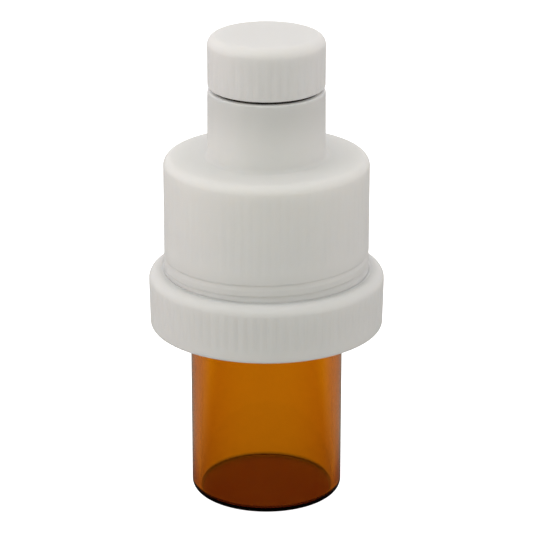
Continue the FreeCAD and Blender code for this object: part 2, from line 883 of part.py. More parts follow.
def make_hopper_tube():
    """Chute that pills fall down; its top end stands out of the neck and takes the cap."""
    body = new_body("hopper_tube")
    ceiling_z = S.barrel_shoulder_z - S.moulding_wall
    revolve(
        body,
        [
            (S.feed_radius, S.carrier_top_z),
            (S.tube_radius, S.carrier_top_z),
            (S.tube_radius, ceiling_z - S.tube_flange),
            (S.tube_flange_radius, ceiling_z - S.tube_flange),
            (S.tube_flange_radius, ceiling_z),
            (S.tube_radius, ceiling_z),
            (S.tube_radius, S.tube_top_z),
            (S.feed_radius, S.tube_top_z),
        ],
    )
    bevel_edges(body, S.cap_thread_play, [(S.tube_radius, S.tube_top_z), (S.feed_radius, S.tube_top_z)])
    tip = S.tube_radius + S.cap_thread_depth
    section = cap_thread_section(S.tube_radius - S.cap_thread_play, tip, S.cap_thread_z)
    thread(body, section, S.cap_pitch, S.cap_thread_rise)
    return body


# --- cap and pusher ------------------------------------------------------------------


def make_cap_seal():
    body = new_body("cap_seal")
    low = S.neck_top_z + S.cap_seal_play
    revolve(body, rectangle(S.cap_seal_inner_radius, S.cap_seal_outer_radius, low, low + S.cap_seal))
    return body


def make_cap():
    body = new_body("cap")
    bore = S.tube_radius + S.cap_thread_depth + S.cap_thread_play
    ceiling_z = S.cap_top_z - S.cap_roof
    revolve(
        body,
        [
            (bore, S.cap_foot_z),
            (S.cap_foot_radius, S.cap_foot_z),
            (S.cap_top_radius, S.cap_top_z),
            (ZERO, S.cap_top_z),
            (ZERO, ceiling_z),
            (bore, ceiling_z),
        ],
    )
    round_edges(body, S.cap_top_round, [(S.cap_top_radius, S.cap_top_z)])
    round_edges(body, S.cap_foot_round, [(S.cap_foot_radius, S.cap_foot_z)])
    grip_valleys(
        body,
        S.cap_ribs,
        (S.cap_foot_radius + S.cap_top_radius) / 2,
        S.rib_depth,
        S.rib_valley_radius,
        S.cap_foot_z + S.cap_rib_foot,
        S.cap_top_z - S.cap_foot_z,
    )
    section = cap_thread_section(
        bore + S.cap_thread_play,
        bore - S.cap_thread_depth,
        S.cap_thread_z + S.cap_pitch / 2,
    )
    thread(body, section, S.cap_pitch, S.cap_thread_rise)
    return body


def cap_ceiling():
    return S.cap_top_z - S.cap_roof


def make_cap_liner():
    body = new_body("cap_liner")
    inner = S.guide_radius + S.liner_play
    revolve(body, rectangle(inner, S.liner_radius, cap_ceiling() - S.liner, cap_ceiling()))
    return body


def make_pusher_guide():
    """Tube fixed under the cap; its lip holds the pusher's stem by the head."""
    body = new_body("pusher_guide")
    lip_top = S.guide_foot_z + S.guide_lip
    revolve(
        body,
        [
            (S.guide_hole_radius, S.guide_foot_z),
            (S.guide_radius, S.guide_foot_z),
            (S.guide_radius, cap_ceiling()),
            (S.guide_bore_radius, cap_ceiling()),
            (S.guide_bore_radius, lip_top),
            (S.guide_hole_radius, lip_top),
        ],
    )
    return body


def stem_head_z():
    return S.guide_foot_z + S.guide_lip + S.stem_head_play


def make_pusher_stem():
    body = new_body("pusher_stem")
    top_z = stem_head_z() + S.stem_head
    revolve(
        body,
        [
            (ZERO, S.stem_foot_z),
            (S.stem_radius, S.stem_foot_z),
            (S.stem_radius, stem_head_z()),
            (S.stem_head_radius, stem_head_z()),
            (S.stem_head_radius, top_z),
            (ZERO, top_z),
        ],
    )
    return body


def make_pusher_disc():
    body = new_body("pusher_disc")
    top_z = S.stem_foot_z + S.disc
    revolve(body, rectangle(S.stem_radius + S.pin_play, S.disc_radius, S.stem_foot_z, top_z))
    round_edges(body, S.disc_edge_round, [(S.disc_radius, top_z)])
    return body


def make_pusher_pad():
    body = new_body("pusher_pad")
    low_z = S.stem_foot_z - S.pad
    revolve(body, rectangle(ZERO, S.pad_radius, low_z, S.stem_foot_z))
    round_edges(body, S.disc_edge_round, [(S.pad_radius, low_z)])
    return body


def make_pusher_spring():
    """Compression spring between the stem's head and the cap: a round wire swept along a helix."""
    wire = S.spring_wire_radius
    low_z = stem_head_z() + S.stem_head + wire + S.screw_play
    high_z = cap_ceiling() - wire - S.screw_play
    path = CAD.addObject("Part::Helix", "spring_path")
    bind(path, "Radius", S.spring_radius)
    bind(path, "Height", high_z - low_z)
    bind(path, "Pitch", (high_z - low_z) / S.spring_turns)
    path.Placement = FreeCAD.Placement(FreeCAD.Vector(0, 0, low_z.value), FreeCAD.Rotation())
    path.setExpression("Placement.Base.z", low_z.text)
    section = CAD.addObject("Part::Circle", "spring_section")
    bind(section, "Radius", wire)
    upright = FreeCAD.Rotation(FreeCAD.Vector(1, 0, 0), 90)
    section.Placement = FreeCAD.Placement(FreeCAD.Vector(S.spring_radius.value, 0, low_z.value), upright)
    section.setExpression("Placement.Base.x", S.spring_radius.text)
    section.setExpression("Placement.Base.z", low_z.text)
    spring = CAD.addObject("Part::Sweep", "pusher_spring")
    spring.Label = "pusher_spring"
    spring.Sections = [section]
    spring.Spine = (path, ["Edge1"])
    spring.Solid = True
    spring.Frenet = True
    CAD.recompute()
    return spring


MAKERS = (
    make_vial,
    make_vial_gasket,
    make_collar,
    make_grinder_base,
    make_sieve_screen,
    make_lower_burr,
    make_burr_pins,
    make_feed_cone,
    make_cone_insert,
    make_centre_screw,
    make_screw_washer,
    make_barrel_seal,
    make_barrel,
    make_burr_carrier,
    make_carrier_snap_ring,
    make_upper_burr,
    make_upper_burr_screws,
    make_hopper_tube,
    make_cap_seal,
    make_cap,
    make_cap_liner,
    make_pusher_guide,
    make_pusher_stem,
    make_pusher_disc,
    make_pusher_pad,
    make_pusher_spring,
)


def check_document():
    CAD.recompute()
    for thing in CAD.Objects:
        if "Invalid" in thing.State or "Error" in thing.State:
            raise RuntimeError(f"{thing.Label} failed: {thing.State}")


def write_parts(parts):
    os.makedirs("parts", exist_ok=True)
    for part in parts:
        shape = part.Shape
        if shape.isNull() or not shape.isValid() or not shape.Solids:
            raise RuntimeError(f"{part.Label} has no valid solid")
        shape.exportStep(os.path.join("parts", f"{part.Label}.step"))
        print(f"{part.Label}: {len(shape.Solids)} solid(s), {shape.Volume:.1f} mm3")


finished_parts = [make() for make in MAKERS]
check_document()
write_parts(finished_parts)
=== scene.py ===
"""Looks of the twist-grind pill crusher: finished meshes and materials around the CAD frame. Metres."""

import math

import bmesh
import bpy
import numpy as np
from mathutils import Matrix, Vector


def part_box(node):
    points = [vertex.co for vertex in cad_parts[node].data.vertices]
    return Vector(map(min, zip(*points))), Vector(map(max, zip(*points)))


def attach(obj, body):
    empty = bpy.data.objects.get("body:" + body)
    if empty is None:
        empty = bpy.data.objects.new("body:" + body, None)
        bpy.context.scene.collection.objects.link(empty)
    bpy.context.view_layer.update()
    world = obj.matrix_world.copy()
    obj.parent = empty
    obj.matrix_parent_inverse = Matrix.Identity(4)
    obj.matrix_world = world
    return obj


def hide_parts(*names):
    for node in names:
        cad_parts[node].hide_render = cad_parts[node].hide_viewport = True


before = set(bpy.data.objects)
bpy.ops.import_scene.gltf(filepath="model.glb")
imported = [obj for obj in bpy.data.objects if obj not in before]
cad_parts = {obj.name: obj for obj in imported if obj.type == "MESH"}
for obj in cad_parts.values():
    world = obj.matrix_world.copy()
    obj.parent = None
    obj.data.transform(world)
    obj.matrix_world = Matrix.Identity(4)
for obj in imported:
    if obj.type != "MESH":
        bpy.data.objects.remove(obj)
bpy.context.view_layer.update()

MM = 0.001
TAU = 2 * math.pi


# --- outlines and lathed meshes ---------------------------------------------------------------

DEGREES_PER_ARC_STEP = 8
FEWEST_ARC_STEPS = 4
SHARP_ABOVE_DEG = 38
CAD_SHARP_ABOVE_DEG = 30
THREAD_RUNOUT_TURNS = 0.06


class Corner:
    """One corner of a lathe outline, its rounding, and the row spacing up to the next corner."""

    def __init__(self, radius, height, rounding=0.0, rows=None):
        self.point = np.array([radius, height])
        self.rounding = rounding
        self.rows = rows


def unit(vector):
    return vector / np.linalg.norm(vector)


def corner_points(before, corner, after):
    """The corner itself, or the points of the arc that rounds it."""
    if corner.rounding <= 0:
        return [corner.point]
    back = unit(before.point - corner.point)
    ahead = unit(after.point - corner.point)
    half = math.acos(np.clip(back @ ahead, -1, 1)) / 2
    centre = corner.point + unit(back + ahead) * corner.rounding / math.sin(half)
    start = corner.point + back * corner.rounding / math.tan(half) - centre
    end = corner.point + ahead * corner.rounding / math.tan(half) - centre
    sweep = math.pi - 2 * half
    steps = max(FEWEST_ARC_STEPS, round(math.degrees(sweep) / DEGREES_PER_ARC_STEP))
    turn = 1 if start[0] * end[1] - start[1] * end[0] > 0 else -1
    points = []
    for i in range(steps + 1):
        angle = turn * sweep * i / steps
        c, s = math.cos(angle), math.sin(angle)
        points.append(centre + np.array([start[0] * c - start[1] * s, start[0] * s + start[1] * c]))
    return points


def trace(corners, closed):
    """The outline's points. An open outline starts and ends on the axis."""
    count = len(corners)
    groups = []
    for i, corner in enumerate(corners):
        groups.append(corner_points(corners[i - 1], corner, corners[(i + 1) % count]))
    points = []
    for i, group in enumerate(groups):
        points += group
        if i == count - 1 and not closed:
            break
        start, end = group[-1], groups[(i + 1) % count][0]
        if corners[i].rows:
            spans = max(1, math.ceil(np.linalg.norm(end - start) / corners[i].rows))
            points += [start + (end - start) * k / spans for k in range(1, spans)]
    return np.array(points)


def lathe(name, corners, segments, closed=True, shape=None):
    """A solid of revolution about Z. shape(radius, height, angle) moves each point outward."""
    points = trace(corners, closed)
    angles = np.arange(segments) * TAU / segments
    radius, angle = np.meshgrid(points[:, 0], angles, indexing="ij")
    height = np.repeat(points[:, 1:2], segments, axis=1)
    if shape:
        radius = radius + shape(radius, height, angle)
    grid = np.stack([radius * np.cos(angle), radius * np.sin(angle), height], axis=-1)
    poles = np.empty((0, 3))
    if not closed:
        poles = np.vstack([grid[0, :1], grid[-1, :1]])
        grid = grid[1:-1]
    rows = len(grid)
    faces = []
    for row in range(rows if closed else rows - 1):
        low = row * segments
        high = (row + 1) % rows * segments
        for k in range(segments):
            n = (k + 1) % segments
            faces.append((low + k, low + n, high + n, high + k))
    if not closed:
        first_pole, last_pole = rows * segments, rows * segments + 1
        last_row = (rows - 1) * segments
        for k in range(segments):
            n = (k + 1) % segments
            faces.append((first_pole, k, n))
            faces.append((last_pole, last_row + n, last_row + k))
    mesh = bpy.data.meshes.new(name)
    mesh.from_pydata(np.vstack([grid.reshape(-1, 3), poles]).tolist(), [], faces)
    clean = bmesh.new()
    clean.from_mesh(mesh)
    bmesh.ops.recalc_face_normals(clean, faces=clean.faces)
    clean.to_mesh(mesh)
    clean.free()
    smooth(mesh, SHARP_ABOVE_DEG)
    piece = bpy.data.objects.new(name, mesh)
    bpy.context.scene.collection.objects.link(piece)
    return piece


def smooth(mesh, sharp_above_deg):
    mesh.shade_smooth()
    mesh.set_sharp_from_angle(angle=math.radians(sharp_above_deg))


def ramp(value, start, end):
    """0 at start, 1 at end, eased between."""
    t = np.clip((value - start) / (end - start), 0, 1)
    return t * t * (3 - 2 * t)


def window(value, rise_from, rise_to, fall_from, fall_to):
    """Eased from 0 up to 1, and back down to 0."""
    return ramp(value, rise_from, rise_to) * (1 - ramp(value, fall_from, fall_to))


def ribs(angle, count, sharpness):
    """1 in the middle of each valley, 0 on the ribs' crests."""
    return (0.5 - 0.5 * np.cos(angle * count)) ** sharpness


def screw_phase(height, angle, pitch, start_z):
    """Distance below the thread's next edge up, and that edge's place along the helix in turns."""
    turns = np.ceil((height - start_z) / pitch - angle / TAU)
    edge_z = start_z + pitch * (turns + angle / TAU)
    return edge_z - height, turns + angle / TAU


def ridge(height, angle, pitch, start_z, turns, root, tip):
    """Section, 0 to 1, of a trapezoid thread ridge on a helix from start_z, with tapered ends."""
    below, place = screw_phase(height - pitch / 2, angle, pitch, start_z)
    off = np.abs(below - pitch / 2)
    section = np.clip((root / 2 - off) / ((root - tip) / 2), 0, 1)
    return section * window(place, 0, THREAD_RUNOUT_TURNS, turns - THREAD_RUNOUT_TURNS, turns)


# --- the visible pieces -----------------------------------------------------------------------

VIAL_PITCH = 3.0 * MM
BARREL_PITCH = 2.43 * MM
CAP_PITCH = 2.5 * MM


def make_vial():
    low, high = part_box("vial")
    wall, finish, bore = high.x, 15.55 * MM, 14.6 * MM
    shoulder_z, floor_z = 39.0 * MM, 0.9 * MM
    punt, punt_z, foot = 14.1 * MM, 0.25 * MM, 14.35 * MM
    heel, heel_round = wall - 0.06 * MM, 1.7 * MM
    rim_round = 0.35 * MM
    thread_z, thread_turns, thread_depth = 41.6 * MM, 1.4, 0.6 * MM
    thread_root, thread_tip = 1.25 * MM, 0.65 * MM
    margin = 0.05 * MM

    def shape(radius, height, angle):
        below_rim = height < high.z - rim_round - 0.15 * MM
        on_finish = (radius > finish - margin) & (height > shoulder_z) & below_rim
        section = ridge(height, angle, VIAL_PITCH, thread_z, thread_turns, thread_root, thread_tip)
        return np.where(on_finish, thread_depth * section, 0)

    corners = [
        Corner(0, punt_z, rows=4 * MM),
        Corner(punt, punt_z, 0.2 * MM),
        Corner(foot, low.z, 0.1 * MM),
        Corner(heel, low.z, heel_round, rows=6 * MM),
        Corner(wall, shoulder_z - thread_depth, 0.5 * MM),
        Corner(finish, shoulder_z, 0.15 * MM, rows=0.15 * MM),
        Corner(finish, high.z, rim_round),
        Corner(bore, high.z, rim_round, rows=6 * MM),
        Corner(bore, floor_z, 0.8 * MM, rows=4 * MM),
        Corner(0, floor_z),
    ]
    return lathe("vial_glass", corners, 256, closed=False, shape=shape)


def make_collar():
    low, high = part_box("collar")
    foot, top, top_round = 25.08 * MM, 25.38 * MM, 2.1 * MM
    bore, lip, hole = 22.06 * MM, 21.975 * MM, 16.85 * MM
    web_z = low.z + 1.97 * MM
    rib_count, rib_depth, rib_sharpness = 78, 0.12 * MM, 1.6
    thread_z, thread_turns, thread_depth = 43.2075 * MM, 2.22, 0.12 * MM
    thread_section = [0, 0.2 * MM, 0.35 * MM, 0.55 * MM]
    margin = 0.01 * MM

    def shape(radius, height, angle):
        outside = radius > foot - 1.0 * MM
        ribbed = window(
            height, low.z + 1.6 * MM, low.z + 3.6 * MM, high.z - 3.4 * MM, high.z - 1.0 * MM
        )
        valleys = rib_depth * ribbed * ribs(angle, rib_count, rib_sharpness)
        below, place = screw_phase(height, angle, BARREL_PITCH, thread_z)
        section = np.interp(below, thread_section, [0, 1, 1, 0])
        ends = window(
            place, 0, THREAD_RUNOUT_TURNS, thread_turns - THREAD_RUNOUT_TURNS, thread_turns
        )
        in_bore = (np.abs(radius - bore) < margin) & (height > web_z + 0.1 * MM)
        return np.where(outside, -valleys, np.where(in_bore, -thread_depth * section * ends, 0))

    corners = [
        Corner(hole, low.z, 0.2 * MM, rows=4 * MM),
        Corner(foot, low.z, 0.8 * MM, rows=0.45 * MM),
        Corner(top, high.z, top_round),
        Corner(lip, high.z, 0.03 * MM),
        Corner(bore, high.z - 0.3 * MM, rows=0.22 * MM),
        Corner(bore, web_z, rows=3 * MM),
        Corner(hole, web_z),
    ]
    return lathe("collar_ring", corners, 780, shape=shape)


def make_barrel():
    low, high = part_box("barrel")
    shoulder_z, ceiling_z = 76.19 * MM, 73.89 * MM
    foot, lip_wall, thread_end_wall, wall = 21.94 * MM, 21.985 * MM, 21.988 * MM, 22.0 * MM
    neck_foot, neck, neck_bore = 12.6 * MM, 12.5 * MM, 10.35 * MM
    bore, chamber = 19.3 * MM, 18.8 * MM
    seal_z, seal_half, seal_depth = 47.2 * MM, 0.82 * MM, 0.3 * MM
    carrier_foot, carrier_top = 60.4 * MM, 63.9 * MM
    ring_groove, ring_depth = 1.2 * MM, 0.5 * MM
    rib_count, rib_depth, rib_sharpness = 72, 0.07 * MM, 1.5
    thread_z, thread_depth = 55.5075 * MM, 0.28 * MM
    thread_rows = 0.11 * MM
    first_turn, last_turn, runout = -5, 60 / 360, 0.05
    thread_top_z = 56.4 * MM

    def shape(radius, height, angle):
        outside = (radius > foot - 0.9 * MM) & (height < shoulder_z)
        ribbed = window(
            height, thread_top_z, 57.6 * MM, shoulder_z - 3.0 * MM, shoulder_z - 0.8 * MM
        )
        valleys = rib_depth * ribbed * ribs(angle, rib_count, rib_sharpness)
        below, place = screw_phase(height, angle, BARREL_PITCH, thread_z)
        section = window(below, 0, 0.36 * MM, 0.4 * MM, 1.5 * MM)
        along = (place > first_turn) * (1 - ramp(place, last_turn - runout, last_turn))
        at_collar_lip = window(height, 49.8 * MM, 50.5 * MM, 51.0 * MM, 52.0 * MM)
        groove = thread_depth * section * along * (1 - at_collar_lip)
        return np.where(outside, -valleys - groove, 0)

    corners = [
        Corner(bore, low.z, 0.15 * MM),
        Corner(foot, low.z, 0.3 * MM, rows=0.15 * MM),
        Corner(lip_wall, 50.6 * MM, rows=thread_rows),
        Corner(thread_end_wall, thread_top_z, rows=1.6 * MM),
        Corner(wall, shoulder_z, 2.0 * MM, rows=1.5 * MM),
        Corner(neck_foot, shoulder_z, 1.0 * MM, rows=3 * MM),
        Corner(neck, high.z, 0.5 * MM),
        Corner(neck_bore, high.z, 0.2 * MM, rows=6 * MM),
        Corner(neck_bore, ceiling_z, rows=4 * MM),
        Corner(chamber, ceiling_z, 0.8 * MM, rows=5 * MM),
        Corner(chamber, carrier_top),
        Corner(bore, carrier_top),
        Corner(bore, carrier_foot),
        Corner(bore + ring_depth, carrier_foot),
        Corner(bore + ring_depth, carrier_foot - ring_groove),
        Corner(bore, carrier_foot - ring_groove, rows=4 * MM),
        Corner(bore, seal_z + seal_half),
        Corner(bore + seal_depth, seal_z + seal_half),
        Corner(bore + seal_depth, seal_z - seal_half),
        Corner(bore, seal_z - seal_half),
    ]
    return lathe("barrel_shell", corners, 432, shape=shape)


def make_cap():
    low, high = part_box("cap")
    foot, top, top_round = 12.47 * MM, 12.52 * MM, 2.2 * MM
    bore = 11.0 * MM
    ceiling_z = high.z - 2.205 * MM
    rib_count, rib_depth, rib_sharpness = 40, 0.115 * MM, 1.4
    shallower_on_top = 0.45
    thread_z, thread_turns, thread_depth = 93.6 * MM + CAP_PITCH / 2, 1.44, 0.5 * MM
    thread_root, thread_tip = 1.0 * MM, 0.5 * MM
    margin = 0.05 * MM

    def shape(radius, height, angle):
        outside = radius > foot - 0.9 * MM
        deeper = 1 - shallower_on_top * ramp(height, low.z + 1 * MM, high.z - 2 * MM)
        ribbed = window(
            height, low.z + 0.2 * MM, low.z + 0.9 * MM, high.z - 3.2 * MM, high.z - 0.9 * MM
        )
        valleys = rib_depth * deeper * ribbed * ribs(angle, rib_count, rib_sharpness)
        section = ridge(height, angle, CAP_PITCH, thread_z, thread_turns, thread_root, thread_tip)
        in_bore = (np.abs(radius - bore) < margin) & (height < ceiling_z - 0.2 * MM)
        return np.where(outside, -valleys, np.where(in_bore, -thread_depth * section, 0))

    corners = [
        Corner(0, high.z, rows=2.5 * MM),
        Corner(top, high.z, top_round, rows=0.4 * MM),
        Corner(foot, low.z, 0.55 * MM),
        Corner(bore, low.z, 0.2 * MM, rows=0.2 * MM),
        Corner(bore, ceiling_z, 0.3 * MM, rows=3 * MM),
        Corner(0, ceiling_z),
    ]
    return lathe("cap_shell", corners, 640, closed=False, shape=shape)


def make_cap_seal():
    low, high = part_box("cap_seal")
    inner, outer = 10.9 * MM, high.x - 0.1 * MM
    rounding = 0.12 * MM
    corners = [
        Corner(inner, low.z, rounding),
        Corner(outer, low.z, rounding),
        Corner(outer, high.z, rounding),
        Corner(inner, high.z, rounding),
    ]
    return lathe("cap_seal_ring", corners, 192)


# --- materials --------------------------------------------------------------------------------

NOISE_LOW, NOISE_HIGH = 0.3, 0.7


class Shader:
    """A new node material with a Principled shader, and short ways to add nodes to it."""

    def __init__(self, name):
        self.material = bpy.data.materials.new(name)
        self.material.use_nodes = True
        self.nodes = self.material.node_tree.nodes
        self.links = self.material.node_tree.links
        self.surface = self.nodes["Principled BSDF"]
        self.output = self.nodes["Material Output"]
        self.place = self.nodes.new("ShaderNodeTexCoord").outputs["Object"]

    def set(self, **values):
        for name, value in values.items():
            self.surface.inputs[name.replace("_", " ")].default_value = value

    def connect(self, output, socket):
        self.links.new(output, self.surface.inputs[socket])

    def noise(self, scale, detail=4.0, stretch=(1, 1, 1)):
        mapping = self.nodes.new("ShaderNodeMapping")
        mapping.inputs["Scale"].default_value = stretch
        self.links.new(self.place, mapping.inputs["Vector"])
        texture = self.nodes.new("ShaderNodeTexNoise")
        texture.inputs["Scale"].default_value = scale
        texture.inputs["Detail"].default_value = detail
        texture.inputs["Roughness"].default_value = 0.55
        self.links.new(mapping.outputs["Vector"], texture.inputs["Vector"])
        return texture.outputs["Fac"]

    def between(self, noise, low, high):
        """Spread the usual span of a noise over low to high."""
        node = self.nodes.new("ShaderNodeMapRange")
        node.inputs["From Min"].default_value = NOISE_LOW
        node.inputs["From Max"].default_value = NOISE_HIGH
        node.inputs["To Min"].default_value = low
        node.inputs["To Max"].default_value = high
        self.links.new(noise, node.inputs["Value"])
        return node.outputs["Result"]

    def pick(self, chooser, first, second):
        """The second colour where chooser is 1, else the first. Either may be a node's output."""
        node = self.nodes.new("ShaderNodeMix")
        node.data_type = "RGBA"
        for socket, colour in (("A", first), ("B", second)):
            if isinstance(colour, tuple):
                node.inputs[socket].default_value = (*colour, 1)
            else:
                self.links.new(colour, node.inputs[socket])
        self.links.new(chooser, node.inputs["Factor"])
        return node.outputs["Result"]

    def colours(self, noise, first, second):
        return self.pick(self.between(noise, 0, 1), first, second)

    def bump(self, height, distance, strength):
        node = self.nodes.new("ShaderNodeBump")
        node.inputs["Strength"].default_value = strength
        node.inputs["Distance"].default_value = distance
        self.links.new(height, node.inputs["Height"])
        self.connect(node.outputs["Normal"], "Normal")

    def maths(self, operation, *values):
        node = self.nodes.new("ShaderNodeMath")
        node.operation = operation
        for socket, value in zip(node.inputs, values):
            self.links.new(value, socket)
        return node.outputs["Value"]

    def step(self, value, start, end):
        """Eased from 0 at start to 1 at end."""
        node = self.nodes.new("ShaderNodeMapRange")
        node.interpolation_type = "SMOOTHSTEP"
        node.inputs["From Min"].default_value = min(start, end)
        node.inputs["From Max"].default_value = max(start, end)
        node.inputs["To Min"].default_value = float(start > end)
        node.inputs["To Max"].default_value = float(start < end)
        self.links.new(value, node.inputs["Value"])
        return node.outputs["Result"]

    def coordinates(self):
        split = self.nodes.new("ShaderNodeSeparateXYZ")
        self.links.new(self.place, split.inputs["Vector"])
        return split.outputs

    def cylindrical(self):
        """Height above the table and distance from the upright axis."""
        x, y, height = self.coordinates()
        squares = self.maths("MULTIPLY", x, x), self.maths("MULTIPLY", y, y)
        return height, self.maths("SQRT", self.maths("ADD", *squares))


def white_plastic(name, dull, bright, light_and_shade_patches):
    """Satin white polypropylene: fine spark-eroded grain, some cloudiness, light that soaks in.

    Each patch is painted light (a paler thin edge) or painted shade (a greyer area). It starts and ends
    at a height, or at a distance from the axis, and eases into its own colour in between.
    """
    shader = Shader(name)
    tone = shader.colours(shader.noise(60), dull, bright)
    height, away = shader.cylindrical()
    # painted light and painted shade patches laid into the base colour
    for along, start, end, colour in light_and_shade_patches:
        measure = height if along == "height" else away
        tone = shader.pick(shader.step(measure, start, end), tone, colour)
    shader.connect(tone, "Base Color")
    shader.connect(shader.between(shader.noise(900), 0.46, 0.56), "Roughness")
    shader.bump(shader.noise(3500, detail=2), 0.01 * MM, 0.35)
    shader.set(
        Subsurface_Weight=0.6,
        Subsurface_Scale=7 * MM,
        Subsurface_Radius=(1.0, 0.9, 0.8),
    )
    return shader.material


def inner_plastic():
    """Plain natural plastic of the hidden mouldings, a little glossier."""
    shader = Shader("inner_plastic")
    tone = shader.colours(shader.noise(80), (0.66, 0.66, 0.64), (0.70, 0.70, 0.68))
    shader.connect(tone, "Base Color")
    shader.connect(shader.between(shader.noise(700), 0.32, 0.42), "Roughness")
    shader.bump(shader.noise(2600, detail=2), 0.01 * MM, 0.3)
    return shader.material


def amber():
    """Clear amber with the faint waviness of a moulded wall.

    It is coloured through its thickness; its floor and its heel are darkened further with painted shade
    in the base colour.
    """
    shader = Shader("amber")
    shader.set(Transmission_Weight=1.0, IOR=1.5)
    height, away = shader.cylindrical()
    # painted shade: the floor and the heel are tinted darker, standing in for the shadow beneath the
    # vial
    floor_painted_shade = shader.step(height, 0.98 * MM, 0.86 * MM), shader.step(away, 14.8 * MM, 13.5 * MM)
    heel_painted_shade = shader.step(height, 1.3 * MM, 0.3 * MM), shader.step(away, 13.9 * MM, 14.6 * MM)
    tone = shader.pick(shader.maths("MULTIPLY", *floor_painted_shade), (1.0, 1.0, 1.0), (0.84, 0.125, 0.8))
    tone = shader.pick(shader.maths("MULTIPLY", *heel_painted_shade), tone, (0.27, 0.24, 0.6))
    shader.connect(tone, "Base Color")
    shader.connect(shader.between(shader.noise(400), 0.0, 0.03), "Roughness")
    shader.bump(shader.noise(55, detail=1, stretch=(1, 1, 0.35)), 0.04 * MM, 0.5)
    absorption = shader.nodes.new("ShaderNodeVolumeAbsorption")
    absorption.inputs["Color"].default_value = (0.889, 0.703, 0.0, 1)
    absorption.inputs["Density"].default_value = 1900
    shader.links.new(absorption.outputs["Volume"], shader.output.inputs["Volume"])
    return shader.material


def rubber(name, dark, light, grain):
    """Matt moulded rubber with a fine grain."""
    shader = Shader(name)
    shader.connect(shader.colours(shader.noise(300), dark, light), "Base Color")
    shader.connect(shader.between(shader.noise(1200), 0.6, 0.8), "Roughness")
    shader.bump(shader.noise(grain, detail=3), 0.03 * MM, 0.5)
    return shader.material


def metal(name, dark, light, stretch):
    """Brushed or turned metal: noise stretched along the tool marks drives its whole surface."""
    shader = Shader(name)
    marks = shader.noise(900, detail=6, stretch=stretch)
    shader.connect(shader.colours(marks, dark, light), "Base Color")
    shader.connect(shader.between(marks, 0.22, 0.4), "Roughness")
    shader.bump(marks, 0.01 * MM, 0.4)
    shader.set(Metallic=1.0)
    return shader.material


def foam():
    """Pale closed-cell foam of the cap's liner."""
    shader = Shader("liner_foam")
    cells = shader.noise(2500, detail=2)
    shader.connect(shader.colours(cells, (0.72, 0.72, 0.70), (0.84, 0.84, 0.82)), "Base Color")
    shader.set(Roughness=0.85)
    shader.bump(cells, 0.06 * MM, 0.7)
    return shader.material


# painted light: a paler colour for edges that sit in shaded gaps and corners
PAINTED_LIGHT_EDGE = (0.95, 0.945, 0.93)
# barrel and neck white plastic, with painted shade low on the barrel and high on the neck, and painted
# light on the neck's top rim
BARREL_WHITE_PAINTED_LIGHT_AND_SHADE = white_plastic(
    "white_plastic",
    (0.79, 0.782, 0.748),
    (0.81, 0.802, 0.768),
    (
        # painted shade: greyer towards the collar
        ("height", 58.0 * MM, 52.5 * MM, (0.72, 0.713, 0.684)),
        # painted shade: greyer on the neck under the cap
        ("height", 81.0 * MM, 89.5 * MM, (0.71, 0.706, 0.678)),
        # painted light: paler top rim of the neck, in the gap under the cap
        ("height", 90.5 * MM, 90.75 * MM, (0.85, 0.843, 0.82)),
    ),
)
# the same white plastic made paler and warmer for the cap: painted light
CAP_WHITE_PAINTED_LIGHT = white_plastic(
    "cap_plastic_painted_light",
    (0.895, 0.86, 0.81),
    (0.915, 0.88, 0.83),
    # painted light: paler foot edge of the cap above the shaded gap
    (("height", 91.75 * MM, 91.5 * MM, PAINTED_LIGHT_EDGE),),
)
# the same white plastic made greyer for the collar: painted shade
COLLAR_WHITE_PAINTED_LIGHT_AND_SHADE = white_plastic(
    "collar_plastic_painted_light_and_shade",
    (0.728, 0.727, 0.703),
    (0.746, 0.745, 0.721),
    # painted light: paler inner lip where the collar meets the barrel, lifting the corner's shade
    (("away", 22.7 * MM, 22.2 * MM, PAINTED_LIGHT_EDGE),),
)
INNER = inner_plastic()
AMBER = amber()
BLACK_RUBBER = rubber("black_rubber", (0.012, 0.008, 0.006), (0.024, 0.017, 0.013), 2200)
GREY_RUBBER = rubber("grey_silicone", (0.36, 0.36, 0.35), (0.44, 0.44, 0.43), 1800)
STEEL = metal("brushed_steel", (0.50, 0.50, 0.49), (0.64, 0.64, 0.63), (1, 0.08, 1))
SPRING_STEEL = metal("spring_steel", (0.42, 0.42, 0.42), (0.60, 0.60, 0.60), (0.3, 0.3, 1))
BRASS = metal("brass", (0.60, 0.43, 0.16), (0.76, 0.57, 0.25), (0.2, 0.2, 1))
FOAM = foam()


# --- dress the model --------------------------------------------------------------------------

PIECES = (
    (make_vial, "vial", "vial", "amber", AMBER),
    (make_collar, "collar", "collar", "white_plastic", COLLAR_WHITE_PAINTED_LIGHT_AND_SHADE),
    (make_barrel, "barrel", "barrel", "white_plastic", BARREL_WHITE_PAINTED_LIGHT_AND_SHADE),
    (make_cap, "cap", "cap", "white_plastic", CAP_WHITE_PAINTED_LIGHT),
    (make_cap_seal, "cap_seal", "seal", "black_rubber", BLACK_RUBBER),
)

CARRIED_OVER = {
    "vial_gasket": GREY_RUBBER,
    "grinder_base": INNER,
    "sieve_screen": STEEL,
    "lower_burr": STEEL,
    "burr_pins": SPRING_STEEL,
    "feed_cone": INNER,
    "cone_insert": BRASS,
    "centre_screw": STEEL,
    "screw_washer": STEEL,
    "barrel_seal": BLACK_RUBBER,
    "burr_carrier": INNER,
    "carrier_snap_ring": SPRING_STEEL,
    "upper_burr": STEEL,
    "upper_burr_screws": SPRING_STEEL,
    "hopper_tube": INNER,
    "cap_liner": FOAM,
    "pusher_guide": INNER,
    "pusher_stem": STEEL,
    "pusher_disc": INNER,
    "pusher_pad": GREY_RUBBER,
    "pusher_spring": SPRING_STEEL,
}


